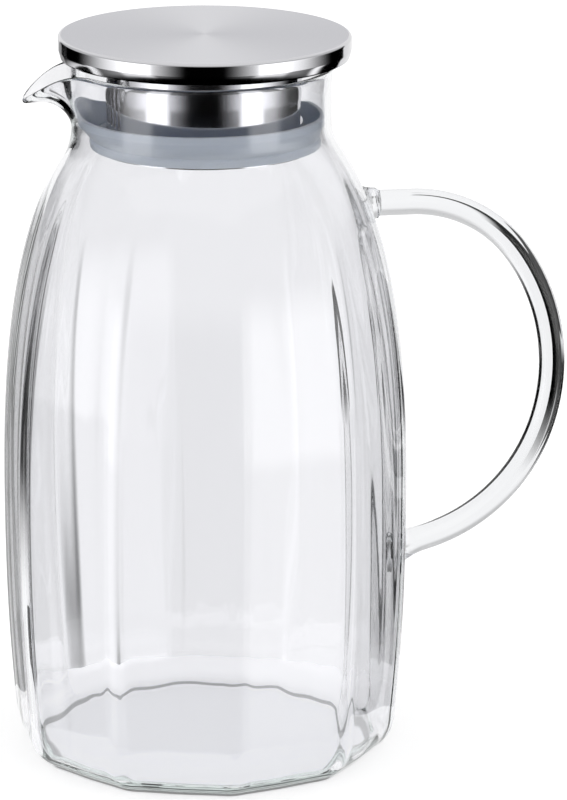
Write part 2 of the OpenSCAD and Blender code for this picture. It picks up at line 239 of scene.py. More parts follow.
class JugForm:
    """The blown jug's outline, worked out once from the sizes in the sidebar."""

    def __init__(self, scene):
        g, s = scene.jug_body, scene.jug_spout
        self.g, self.s = g, s
        self.half_panel = math.pi / g.panels
        self.heel_r = g.belly_r - g.heel_tuck
        self.foot_r = self.heel_r - g.foot_tuck
        self.rim_h = g.neck_h + g.neck_len
        self.bore_r = g.neck_r - g.wall
        third = (g.belly_h - g.heel_h) / 3
        self.flank = [(self.heel_r, g.heel_h), (lerp(self.heel_r, g.belly_r, g.flank_bow), g.heel_h + third),
                      (g.belly_r, g.belly_h - third), (g.belly_r, g.belly_h)]
        self.shoulder = [(g.belly_r, g.belly_h), (g.belly_r, lerp(g.belly_h, g.neck_h, g.shoulder_rise)),
                         (g.neck_r, g.neck_h - g.neck_ease), (g.neck_r, g.neck_h)]
        self.neck_top = self.rim_h - g.wall / 2
        throat_r = g.neck_r + s.throat
        tip_z = self.rim_h - s.drop - g.wall / 2
        tip_r = g.neck_r + s.reach
        self.beak = [(throat_r, g.neck_h), (throat_r, g.neck_h + s.rise),
                     (tip_r - s.level, tip_z + s.droop), (tip_r, tip_z)]
        wall = np.concatenate([bezier(self.flank, np.linspace(0, 1, 200))[0],
                               bezier(self.shoulder, np.linspace(0, 1, 400))[0]])
        self.heights = wall[:, 1]
        self.faces = [self.section(r, z, np.zeros(1), g.ridge_round)[0] for r, z in wall]

    def ridged(self, r, angles, rounding):
        """Radius of a section with rounded ridges, at angles from the handle's panel."""
        half = self.half_panel
        rounding = min(rounding, r / 2)
        turn = np.abs(angles % (2 * half) - half)
        apothem = (r - rounding) * math.cos(half) + rounding
        centre = (apothem - rounding) / math.cos(half)
        arc_end = math.atan2(rounding * math.sin(half), centre + rounding * math.cos(half))
        on_arc = centre * np.cos(turn) + np.sqrt(np.maximum(rounding ** 2 - (centre * np.sin(turn)) ** 2, 0))
        bulge = self.g.panel_bow * (1 - np.cos(math.pi * (turn - arc_end) / (half - arc_end))) / 2
        return np.where(turn <= arc_end, on_arc, apothem / np.cos(half - turn) + bulge)

    def section(self, r, z, angles, rounding):
        fade = 1 - ease((z - self.g.neck_h + self.g.panel_fade) / self.g.panel_fade)
        drawn = ease((z - self.g.neck_h + self.g.neck_ease) / self.g.neck_ease)
        pull = self.s.throat * np.maximum(0, -np.cos(angles)) * drawn
        return lerp(r, self.ridged(r, angles, rounding), fade) + pull

    def body_row(self, point, angles, rounding):
        return ring(self.section(point[0], point[1], angles, rounding), point[1], angles)

    def neck_row(self, straight, drawn, angles):
        """A row of the neck lies between the straight neck and the beak's curve."""
        part = np.exp(-((angles - math.pi) / self.s.spread) ** 2)
        r = straight[0] + self.s.throat * np.maximum(0, -np.cos(angles))
        r = r + part * (drawn[0] - straight[0] - self.s.throat)
        return ring(r, lerp(straight[1], drawn[1], part * part), angles)

    def stations(self, heel, flank, shoulder):
        """Outer points, headings and wall thickness from the foot up to the neck."""
        g = self.g
        a = np.linspace(0, math.pi / 2, heel, endpoint=False)
        p = np.stack([self.foot_r + (self.heel_r - self.foot_r) * np.sin(a), g.heel_h * (1 - np.cos(a))], 1)
        way = np.stack([(self.heel_r - self.foot_r) * np.cos(a), g.heel_h * np.sin(a)], 1)
        way /= np.linalg.norm(way, axis=1)[:, None]
        thick = np.maximum(g.wall, (g.base_t - p[:, 1]) / way[:, 0])
        flank_p, flank_way = bezier(self.flank, np.linspace(0, 1, flank, endpoint=False))
        top_p, top_way = bezier(self.shoulder, np.linspace(0, 1, shoulder, endpoint=False))
        places = np.concatenate([p, flank_p, top_p])
        ways = np.concatenate([way, flank_way, top_way])
        return places, ways, np.concatenate([thick, np.full(flank + shoulder, g.wall)])

    def panel_face(self, z):
        """Distance from the axis to the middle of the handle's panel, at heights."""
        return np.interp(z, self.heights, self.faces)


def ring(r, z, angles):
    """A row of points at a radius and a height for each angle."""
    return np.stack([r * np.cos(angles), r * np.sin(angles), np.broadcast_to(z, np.shape(angles))], 1)


def skin(name, rows, body, nodes, finish, loop=False):
    """A smooth mesh over rows of points, which rides on a body and stands for its CAD nodes.

    Columns wrap, and rows wrap too if it loops.
    """
    rows = np.array(rows, float)
    count, width = rows.shape[:2]
    down, across = np.meshgrid(np.arange(count if loop else count - 1), np.arange(width), indexing="ij")
    below, beyond = (down + 1) % count, (across + 1) % width
    quads = np.stack([down * width + across, down * width + beyond,
                      below * width + beyond, below * width + across], -1).reshape(-1, 4).tolist()
    if not loop:
        quads += [list(range(width))[::-1], list(range((count - 1) * width, count * width))]
    mesh = bpy.data.meshes.new(name)
    mesh.from_pydata(rows.reshape(-1, 3).tolist(), [], quads)
    mesh.update()
    mesh.polygons.foreach_set("use_smooth", [True] * len(mesh.polygons))
    mesh.set_sharp_from_angle(angle=SHARP)
    mesh.materials.append(finish)
    made = bpy.data.objects.new(name, mesh)
    bpy.context.scene.collection.objects.link(made)
    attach(made, body)
    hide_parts(*nodes)
    return made


def braced(outline, gap):
    """An outline with two more points on each long side, so that flat sides shade flat."""
    points = np.array(outline, float)
    out = []
    for here, there in zip(points, np.roll(points, -1, axis=0)):
        out.append(here)
        side = np.linalg.norm(there - here)
        if side > 4 * gap:
            out += [lerp(here, there, gap / side), lerp(there, here, gap / side)]
    return out


def turned(name, outline, body, nodes, finish, columns=256):
    """A closed outline of [radius, height] points, counter-clockwise, turned about the axis."""
    angles = np.linspace(0, 2 * math.pi, columns, endpoint=False)
    rows = [ring(r, z, angles) for r, z in braced(outline, 0.1 * MM)]
    return skin(name, rows, body, nodes, finish, loop=True)


def arc(centre, radius, start, end, steps):
    """Points of an arc, angles in degrees."""
    a = np.radians(np.linspace(start, end, steps))
    return [(centre[0] + radius * math.cos(t), centre[1] + radius * math.sin(t)) for t in a]


def material(name):
    """An empty node material with its output."""
    made = bpy.data.materials.new(name)
    made.use_nodes = True
    made.node_tree.nodes.clear()
    return made, made.node_tree


def add(tree, kind, settings=None, **sockets):
    """Adds a node, sets its properties, and fills or links its sockets by name."""
    node = tree.nodes.new(kind)
    for key, value in (settings or {}).items():
        setattr(node, key, value)
    for key, value in sockets.items():
        by_place = key[0] == "i" and key[1:].isdigit()
        socket = node.inputs[int(key[1:]) if by_place else key.replace("_", " ")]
        if isinstance(value, bpy.types.NodeSocket):
            tree.links.new(value, socket)
        else:
            socket.default_value = value
    return node


def opaque(rgb):
    return (*rgb, 1)


def reckon(tree, operation, *values):
    """The result of a math node on numbers or sockets."""
    sockets = {f"i{k}": value for k, value in enumerate(values)}
    return add(tree, "ShaderNodeMath", {"operation": operation}, **sockets).outputs["Value"]


def spread(tree, value, low, high):
    """A value from 0 to 1, spread evenly from low to high."""
    return add(tree, "ShaderNodeMapRange", Value=value, i3=low, i4=high).outputs["Result"]


def ramp(tree, value, start, end, low=0.0, high=1.0):
    """A soft step of a value, from low before the start to high after the end."""
    return add(tree, "ShaderNodeMapRange", {"interpolation_type": "SMOOTHSTEP"}, Value=value, i1=start, i2=end,
               i3=low, i4=high).outputs["Result"]


def band(tree, turn, rise, full, fade, end):
    """1 between two turns and 0 outside, with soft ends."""
    return reckon(tree, "MULTIPLY", ramp(tree, turn, rise, full), ramp(tree, turn, fade, end, 1.0, 0.0))


def unturned(tree, count):
    """1 while a count of bounces is 0, and 0 after the first."""
    return ramp(tree, count, 0, 1, 1.0, 0.0)


def seen(tree):
    """1 for rays from the camera, and for those that metal or glass passes on."""
    path = add(tree, "ShaderNodeLightPath").outputs
    first = reckon(tree, "MAXIMUM", path["Is Camera Ray"], path["Is Glossy Ray"])
    return reckon(tree, "MAXIMUM", first, path["Is Transmission Ray"])


def shining(made, tree, strength):
    """Finishes a material as a surface that only gives light."""
    glow = add(tree, "ShaderNodeEmission", Color=(1, 1, 1, 1), Strength=strength)
    add(tree, "ShaderNodeOutputMaterial", Surface=glow.outputs["Emission"])
    return made


def borosilicate(g):
    """Blown borosilicate glass, fire-polished: clear and sharp, with a faint cool green where it is deep."""
    made, tree = material("borosilicate_glass")
    shell = add(tree, "ShaderNodeBsdfPrincipled", Base_Color=opaque(g.glass), Roughness=0.0, IOR=1.473,
                Transmission_Weight=1.0)
    depth = add(tree, "ShaderNodeVolumeAbsorption", Color=opaque(g.depth_tint), Density=6.0)
    add(tree, "ShaderNodeOutputMaterial", Surface=shell.outputs["BSDF"], Volume=depth.outputs["Volume"])
    return made


def polished_steel(lid):
    """Mirror-polished 18/8 stainless: it shows the studio sharply, a little darker than life."""
    made, tree = material("polished_stainless")
    shell = add(tree, "ShaderNodeBsdfPrincipled", Base_Color=opaque(lid.steel), Metallic=1.0, Roughness=0.09)
    add(tree, "ShaderNodeOutputMaterial", Surface=shell.outputs["BSDF"])
    return made


def brushed_steel(lid):
    """Stainless brushed on a turntable: fine rings that draw light out into a fan from the middle."""
    made, tree = material("brushed_stainless")
    place = add(tree, "ShaderNodeTexCoord")
    apart = add(tree, "ShaderNodeSeparateXYZ", Vector=place.outputs["Object"])
    flat = add(tree, "ShaderNodeCombineXYZ", X=apart.outputs["X"], Y=apart.outputs["Y"], Z=0.0)
    radius = add(tree, "ShaderNodeVectorMath", {"operation": "LENGTH"}, i0=flat.outputs["Vector"])
    # The real grit is 0.05 mm; drawn at 0.5 mm so that it shows
    grit = add(tree, "ShaderNodeTexNoise", {"noise_dimensions": "1D"}, W=radius.outputs["Value"],
               Scale=1 / (0.5 * MM), Detail=4.0, Roughness=0.7)
    around = add(tree, "ShaderNodeTangent", {"direction_type": "RADIAL", "axis": "Z"})
    rough = spread(tree, grit.outputs["Fac"], 0.26, 0.36)
    ridges = add(tree, "ShaderNodeBump", Strength=0.06, Distance=0.02 * MM, Height=grit.outputs["Fac"])
    shell = add(tree, "ShaderNodeBsdfPrincipled", Base_Color=opaque(lid.brushed), Metallic=1.0,
                Roughness=rough, Anisotropic=0.75, Tangent=around.outputs["Tangent"],
                Normal=ridges.outputs["Normal"])
    add(tree, "ShaderNodeOutputMaterial", Surface=shell.outputs["BSDF"])
    return made


def moulded_silicone(seal):
    """Moulded silicone rubber: milky and satin, with light carried a little way inside."""
    made, tree = material("moulded_silicone")
    place = add(tree, "ShaderNodeTexCoord")
    # Mould texture of about 0.4 mm
    skin_grain = add(tree, "ShaderNodeTexNoise", Vector=place.outputs["Object"], Scale=1 / (0.4 * MM), Detail=2.0)
    rough = spread(tree, skin_grain.outputs["Fac"], 0.24, 0.32)
    bump = add(tree, "ShaderNodeBump", Strength=0.05, Distance=0.05 * MM, Height=skin_grain.outputs["Fac"])
    shell = add(tree, "ShaderNodeBsdfPrincipled", Base_Color=opaque(seal.silicone), IOR=1.41,
                Roughness=rough, Subsurface_Weight=0.5, Subsurface_Radius=(1, 1, 1.1),
                Subsurface_Scale=2.5 * MM, Normal=bump.outputs["Normal"])
    add(tree, "ShaderNodeOutputMaterial", Surface=shell.outputs["BSDF"])
    return made


def finish_of(maker, settings):
    """The material that a maker gives, made once."""
    if maker.__name__ not in FINISHES:
        FINISHES[maker.__name__] = maker(settings)
    return FINISHES[maker.__name__]


FINISHES = {}


class JUG_OT_body(bpy.types.Operator):
    """Blow the glass body with its panels, neck and spout"""

    bl_idname = "jug.body"
    bl_label = "Glass Body"

    CROWDING = 0.8
    BEAD_START = 0.7
    FLOOR_RINGS = (0.12, 0.35, 0.6, 0.8, 0.92)
    # Waves round the body, how much each leans over the ripple's pitch, and its start
    WAVES = ((7, 1.0, 0.0), (13, -0.7, 1.3), (31, 1.3, 4.0))
    PITCH = 250 * MM
    # Heights over which the ripple begins above the floor, and ends below the neck's foot
    RIPPLE_RISE, RIPPLE_END = (20 * MM, 40 * MM), (-50 * MM, -20 * MM)

    def execute(self, context):
        form = JugForm(context.scene)
        g = form.g
        # Columns across one panel, crowded towards its ridges
        across = np.linspace(-1, 1, 36, endpoint=False)
        across = across + self.CROWDING / math.pi * np.sin(math.pi * across)
        angles = np.concatenate([(2 * k + across) * form.half_panel for k in range(g.panels)])
        angles = np.sort(angles % (2 * math.pi))
        places, ways, thick = form.stations(heel=14, flank=26, shoulder=44)
        outer = [form.body_row(p, angles, g.ridge_round) for p in places]
        inner_places = beside(places, ways, thick)
        inner = []
        for p in inner_places[::-1]:
            row = form.body_row(p, angles, g.inner_round)
            inner.append(row + self.ripple(row, angles, p[1], g))
        t = np.linspace(0, 1, 26)
        straight = np.stack([np.full(t.size, g.neck_r), lerp(g.neck_h, form.neck_top, t)], 1)
        upright = np.tile([0.0, 1.0], (t.size, 1))
        drawn, drawn_way = bezier(form.beak, t)
        bead = g.rim_bead * smooth(t, self.BEAD_START, 1)
        neck_out = [form.neck_row(a, b, angles)
                    for a, b in zip(beside(straight, upright, -bead), beside(drawn, drawn_way, -bead))]
        neck_in = [form.neck_row(a, b, angles)
                   for a, b in zip(beside(straight, upright, np.full(t.size, g.wall)),
                                   beside(drawn, drawn_way, np.full(t.size, g.wall)))][::-1]
        half = (g.wall + g.rim_bead) / 2
        lip = []
        for a in np.linspace(0, math.pi, 12)[1:-1]:
            shift = g.wall - half - half * math.cos(a)
            rise = half * math.sin(a)
            ends = [beside(p[-1:], w[-1:], [shift])[0] + w[-1] * rise
                    for p, w in ((straight, upright), (drawn, drawn_way))]
            lip.append(form.neck_row(ends[0], ends[1], angles))
        under = [outer[0] * [k, k, 1] for k in self.FLOOR_RINGS]
        floor = [inner[-1] * [k, k, 1] for k in self.FLOOR_RINGS[::-1]]
        rows = under + outer + neck_out + lip + neck_in + inner + floor
        skin("glass_body", rows, "jug", ["glass_body"], finish_of(borosilicate, g))
        return {"FINISHED"}

    def ripple(self, row, angles, z, g):
        """Slow waves in and out that blowing leaves on the inner face, none at the neck or on the floor."""
        lean = 2 * math.pi * z / self.PITCH
        wave = sum(np.sin(count * angles + slant * lean + start) for count, slant, start in self.WAVES)
        wave = wave / len(self.WAVES)
        held = smooth(z, *self.RIPPLE_RISE) * (1 - smooth(z - g.neck_h, *self.RIPPLE_END))
        out = row * [1, 1, 0] / np.linalg.norm(row[:, :2], axis=1)[:, None]
        return out * (wave * g.ripple * held)[:, None]


def rod_path(form, h):
    """The rod's middle line from the upper gather to the lower one: x, height and heading."""
    top = form.g.neck_h - h.drop
    headings = np.concatenate([[0], -np.cumsum(h.turns)])
    turn_at = [np.array([math.sin(a), -math.cos(a)]) for a in headings]
    sweep = [np.zeros(2)]
    for i, bend in enumerate(h.bends):
        sweep.append(sweep[-1] + bend * (turn_at[i] - turn_at[i + 1]))
    slope = math.pi + headings[-1]
    run = h.tail + h.lower_pad
    low_z = top + sweep[-1][1] - run * math.sin(slope)
    low_x = form.panel_face(low_z)
    start = np.array([low_x + run * math.cos(slope) - sweep[-1][0], top])
    path = [(form.panel_face(top) + h.upper_pad, top, 0.0)]
    for i, bend in enumerate(h.bends):
        centre = start + sweep[i] + bend * turn_at[i]
        for a in np.linspace(headings[i], headings[i + 1], 28)[1 if i else 0:]:
            path.append((centre[0] - bend * math.sin(a), centre[1] + bend * math.cos(a), a))
    path.append((low_x + h.lower_pad * math.cos(slope), low_z + h.lower_pad * math.sin(slope), headings[-1]))
    return path


class JUG_OT_handle(bpy.types.Operator):
    """Bend the glass rod and fuse its two gathers to the wall"""

    bl_idname = "jug.handle"
    bl_label = "Handle"

    # Part of a gather's flare that comes early, and where along it the upper one's collar rises
    SWELL, COLLAR = 0.4, (0.05, 0.25)

    def execute(self, context):
        form, h = JugForm(context.scene), context.scene.jug_handle
        path = rod_path(form, h)
        upper = self.gather(form, h, path[0], -1, h.upper_pad)
        lower = self.gather(form, h, path[-1], 1, h.lower_pad)
        rows = upper[::-1] + [self.hoop(p, h.rod_d / 2) for p in path[1:-1]] + lower
        skin("handle", rows, "jug", ["handle", "upper_weld_pad", "lower_weld_pad"],
             finish_of(borosilicate, form.g))
        return {"FINISHED"}

    @staticmethod
    def hoop(p, radius, sides=40):
        """A ring of points square to the rod's path."""
        turn = np.linspace(0, 2 * math.pi, sides, endpoint=False)
        up = radius * np.cos(turn)
        return np.stack([p[0] - up * math.sin(p[2]), -radius * np.sin(turn), p[1] + up * math.cos(p[2])], 1)

    def gather(self, form, h, end, side, pad):
        """Rings from the rod's end down to its root in the wall, flaring as they near the wall."""
        way = np.array([math.cos(end[2]), 0, math.sin(end[2])]) * side
        rings = []
        for t in np.linspace(0, 1, 16):
            # The upper gather swells at once, like a collar, and the lower one evenly
            swell = smooth(t, *self.COLLAR) if side < 0 else t
            flare = h.flare * lerp(t ** 3, swell, self.SWELL)
            hoop = self.hoop(end, h.rod_d / 2 + flare)
            if side > 0:
                hoop[:, 2] -= h.sag * t * t
            reach = np.zeros(len(hoop))
            for _ in range(6):
                at = hoop + reach[:, None] * way
                reach = reach + (form.panel_face(at[:, 2]) - h.root - at[:, 0]) / way[0]
            rings.append(hoop + (reach * t)[:, None] * way)
        return rings


class JUG_OT_lid(bpy.types.Operator):
    """Turn the cap and the plate that closes it from below"""

    bl_idname = "jug.lid"
    bl_label = "Lid"

    def execute(self, context):
        form, lid = JugForm(context.scene), context.scene.jug_lid
        cap_r = form.g.neck_r + lid.overhang
        low = form.rim_h + lid.gap
        top = low + lid.cap_h
        edge, fold, bend = lid.cap_round, 0.3 * MM, 0.4 * MM
        # A pinhole on the axis, and the small bevel of a cut edge
        middle, bevel = 0.02 * MM, 0.1 * MM
        inner = cap_r - lid.sheet
        rings = [cap_r * k for k in (0.15, 0.35, 0.55, 0.75, 0.9)]
        lean = np.linspace(1, 0, 9)
        outline = [(cap_r - lid.roll_in - bevel, low)]
        outline += [(cap_r - lid.roll_in * s ** 1.2, low + 2 * bevel + lid.roll * (1 - s)) for s in lean]
        outline += arc((cap_r - edge, top - edge), edge, 0, 90, 9)
        outline += [(r, top) for r in rings[::-1]] + [(middle, top), (middle, top - lid.sheet)]
        outline += [(r, top - lid.sheet) for r in rings]
        outline += arc((inner - fold, top - lid.sheet - fold), fold, 90, 0, 4)
        outline += [(inner, low + bevel)]
        polished = finish_of(polished_steel, lid)
        made = turned("lid_cap", outline, "lid", ["lid_cap"], polished)
        made.data.materials.append(finish_of(brushed_steel, lid))
        for face in made.data.polygons:
            level = face.normal.z > 0.999 and face.center.z > top - fold
            face.material_index = 1 if level else 0
        plate_z = low + lid.plate_inset
        pan_r = inner - lid.weld_gap
        sheet = lid.sheet
        pan = [(middle, plate_z), (pan_r * 0.5, plate_z), (pan_r * 0.9, plate_z)]
        pan += arc((pan_r - bend, plate_z + bend), bend, -90, 0, 5)
        pan += [(pan_r, plate_z + lid.hem_h), (pan_r - sheet, plate_z + lid.hem_h),
                (pan_r - sheet, plate_z + sheet), (pan_r * 0.9, plate_z + sheet), (middle, plate_z + sheet)]
        turned("lid_underplate", pan, "lid", ["lid_underplate"], polished)
        return {"FINISHED"}


class JUG_OT_tube(bpy.types.Operator):
    """Draw the pour tube, punch its window and slots, and add the ring that keeps the seal on"""

    bl_idname = "jug.tube"
    bl_label = "Pour Tube"

    def execute(self, context):
        form, lid, tube = JugForm(context.scene), context.scene.jug_lid, context.scene.jug_tube
        seal = context.scene.jug_seal
        sheet = lid.sheet
        tube_r = form.bore_r - tube.pour_gap
        high = form.rim_h + lid.gap + lid.plate_inset - lid.weld_gap
        flange_z = form.g.neck_h - tube.seat
        low = flange_z - sheet
        turn = tube.flare + sheet
        bend = tube_r + tube.flare
        outline = [(tube_r + tube.flange_w, low), (tube_r + tube.flange_w, flange_z)]
        outline += arc((bend, low + turn), tube.flare, 270, 180, 9)
        outline += arc((bend, high - turn), tube.flare, 180, 90, 9)
        outline += [(tube_r + tube.weld_flange, high - sheet), (tube_r + tube.weld_flange, high)]
        outline += arc((bend, high - turn), turn, 90, 180, 9)
        outline += arc((bend, low + turn), turn, 180, 270, 9)
        polished = finish_of(polished_steel, lid)
        made = turned("pour_tube", outline, "lid", ["pour_tube"], polished)
        sill = flange_z + tube.flare + tube.window_sill
        head = high - sheet - tube.flare - tube.window_head
        self.punch(made, self.cutters(tube, tube_r, sill, head, sheet))
        collar = tube_r - sheet - lid.weld_gap
        foot = flange_z - seal.groove_h - sheet
        rim = tube_r + tube.flange_w
        ell = [(collar - sheet, foot), (rim, foot), (rim, foot + sheet), (collar, foot + sheet),
               (collar, sill), (collar - sheet, sill)]
        turned("seal_retainer", ell, "lid", ["seal_retainer"], polished)
        return {"FINISHED"}

    @staticmethod
    def cutters(tube, tube_r, sill, head, sheet):
        """Prisms for the window on the handle side and the slots on the spout side."""
        half = tube_r * math.sin(tube.window_half)
        r, w = tube.window_round, tube.slot_w / 2
        past = 4 * sheet
        window = [(-half, sill), (half, sill)]
        window += arc((half - r, head - r), r, 0, 90, 8) + arc((r - half, head - r), r, 90, 180, 8)
        slot = arc((0, sill + w), w, 180, 360, 9) + arc((0, head - w), w, 0, 180, 9)
        cuts = [(window, 0.0, tube_r * math.cos(tube.window_half) - past)]
        for i in range(tube.slots):
            turn = math.pi + (i - (tube.slots - 1) / 2) * tube.slot_step
            cuts.append((slot, turn, tube_r - past))
        points, faces = [], []
        for shape, turn, start in cuts:
            first, n = len(points), len(shape)
            spin = np.array([[math.cos(turn), -math.sin(turn), 0], [math.sin(turn), math.cos(turn), 0], [0, 0, 1]])
            for x in (start, tube_r + past):
                points += [spin @ np.array([x, y, z]) for y, z in shape]
            faces += [[first + n + k for k in range(n)], [first + k for k in range(n)][::-1]]
            faces += [[first + k, first + (k + 1) % n, first + n + (k + 1) % n, first + n + k] for k in range(n)]
        return points, faces

    @staticmethod
    def punch(made, prisms):
        """Cuts the prisms out of a piece."""
        mesh = bpy.data.meshes.new("punch")
        mesh.from_pydata([list(p) for p in prisms[0]], [], prisms[1])
        tool = bpy.data.objects.new("punch", mesh)
        bpy.context.scene.collection.objects.link(tool)
        cut = made.modifiers.new("punched", "BOOLEAN")
        cut.operation, cut.solver, cut.object = "DIFFERENCE", "EXACT", tool
        seen = made.evaluated_get(bpy.context.evaluated_depsgraph_get())
        made.data = bpy.data.meshes.new_from_object(seen)
        made.modifiers.clear()
        bpy.data.objects.remove(tool)
        made.data.set_sharp_from_angle(angle=SHARP)


class JUG_OT_seal(bpy.types.Operator):
    """Mould the silicone lip seal"""

    bl_idname = "jug.seal"
    bl_label = "Lip Seal"

    def execute(self, context):
        form, lid, tube = JugForm(context.scene), context.scene.jug_lid, context.scene.jug_tube
        seal = context.scene.jug_seal
        tube_r = form.bore_r - tube.pour_gap
        flange_z = form.g.neck_h - tube.seat
        foot = flange_z - seal.groove_h
        lip_r = form.bore_r - seal.neck_clear
        band_r = lip_r - seal.band_step
        lip_top = flange_z + seal.lip_h
        held = tube_r - lid.sheet - lid.weld_gap + seal.seal_clear
        free = tube_r + tube.flange_w + seal.seal_clear
        groove_top = flange_z - lid.sheet - seal.seal_clear
        floor = foot + seal.seal_clear
        corners = [(held, floor, 0), (free, floor, 0), (free, foot, 0), (band_r, foot, 0),
                   (band_r, groove_top - seal.notch, 0), (band_r - seal.notch, groove_top, 0),
                   (lip_r, lip_top - seal.land_h, 1), (lip_r, lip_top, 1), (lip_r - seal.lip_t, lip_top, 1),
                   (free, flange_z + seal.seal_clear, 0), (free, groove_top, 0), (held, groove_top, 0)]
        angles = np.linspace(0, 2 * math.pi, 192, endpoint=False)
        pull = form.s.throat * np.maximum(0, -np.cos(angles))
        rows = [ring(r + follow * pull, z, angles) for r, z, follow in self.soften(corners, seal.edge)]
        skin("lip_seal", rows, "seal", ["lip_seal"], finish_of(moulded_silicone, seal), loop=True)
        return {"FINISHED"}

    @staticmethod
    def soften(corners, edge):
        """The outline with each corner rounded by a short curve."""
        points = np.array(corners, float)
        out = []
        for i, p in enumerate(points):
            before, after = points[i - 1] - p, points[(i + 1) % len(points)] - p
            a = p + before * min(0.4, edge / np.linalg.norm(before[:2]))
            b = p + after * min(0.4, edge / np.linalg.norm(after[:2]))
            out += [(1 - t) ** 2 * a + 2 * t * (1 - t) * p + t * t * b for t in (0.0, 0.33, 0.67, 1.0)]
        return out


def camera_spot(studio):
    """Where the camera stands."""
    return np.array([math.sin(studio.azimuth) * studio.distance, -math.cos(studio.azimuth) * studio.distance,
                     studio.height])


# Zones of the studio's walls: turns in degrees from the camera's side, and heights in metres above the table.
# Each pair says where a soft step starts and ends.
WALL_FOOT, SCRIM_CUT, SCRIM_TOP = -4.0, -0.63, 1.6
GLOW_TURNS, GLOW_FOOT = (14, 60, 62, 116), (-0.22, -0.18)
BLOCK_TURNS, BLOCK_FOOT, BLOCK_GAIN = (36, 46, 66, 78), (-0.34, -0.26), 1.2
STRIP_TURNS, STRIP_HEAD = (94, 102, 104, 112), (-0.34, -0.27)
FAR_TURNS, FAR_HEAD = (95, 110), (-0.63, -0.4)
CLEAR_TURNS = (20, 32, 84, 98)
LIGHT_FOOT, SKY_FOOT = (-1.2, -0.9), (0.2, 0.6)
FLAG_TURNS, FLAG_LOW, FLAG_LIFT = (-136, -180), (-2.2, -1.0), (152, 162)
FLAG_FADE, FLAG_DARK, FLAG_MIRRORED = (174, 179), 0.05, 0.3
FLAG_ZONES = (((164, 176), (-0.95, -0.66)), ((158, 167), (-0.36, -0.22)))
SKIRT_TURNS, SKIRT_TOP = (-95, -150), -0.64
# The handle's card: headings of the rod that it follows, its edges inside the rod's line, how far behind it stands
CARD_HEADINGS, CARD_EDGES, CARD_BEHIND = (-30, -128), (5 * MM, 42 * MM), 120 * MM
CARD_FADES = ((0.0, 0.16), (0.7, 1.0))
# Upward slope of the sight over which the room turns grey through glass
HAZE_RISE = (0.02, 0.3)
# Shade painted onto the plinth in the gap under the heel: its rings as shares of the foot's outline, and how much
# of the painted shade each ring out has; the outer rings keep a little, which dims the plinth beyond the heel
GAP_RINGS, GAP_PAINTED_SHADE = (0.99, 1.005, 1.04, 1.06), (0.0, 1.0, 1.0, 0.08, 0.08)


